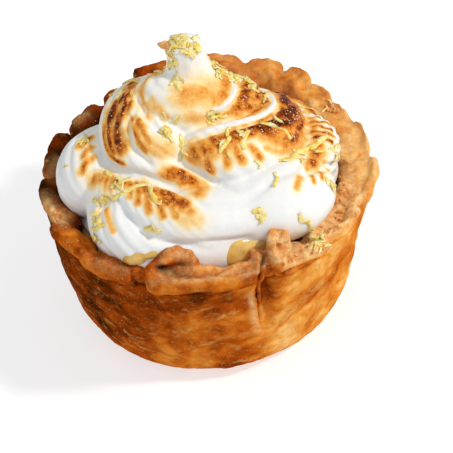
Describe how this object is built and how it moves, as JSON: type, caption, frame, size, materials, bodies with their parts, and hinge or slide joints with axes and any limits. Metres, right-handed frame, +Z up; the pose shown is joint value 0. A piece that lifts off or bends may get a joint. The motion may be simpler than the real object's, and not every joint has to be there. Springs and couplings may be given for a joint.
{
  "type": "lemon meringue pie",
  "caption": "Small deep pie: a pleated golden pastry case filled with lemon curd, under a tall piped and torched meringue swirl with shreds of lemon zest.",
  "frame": {"origin": "centre of the bounding box, on the table under the pie", "axes": "+Z up through the meringue's peak, -Y the front with the deep pleat, +X right"},
  "size_m": [0.0848, 0.0889, 0.0825],
  "materials": {
    "pastry": "flaky baked pastry, golden orange to deep brown, buttery satin sheen",
    "lemon_curd": "glossy set lemon curd",
    "meringue": "smooth soft meringue, white, torched brown along its ridges"
  },
  "bodies": {
    "root": {"crust": "pastry", "lemon_filling": "lemon_curd", "meringue": "meringue"}
  },
  "joints": []
}
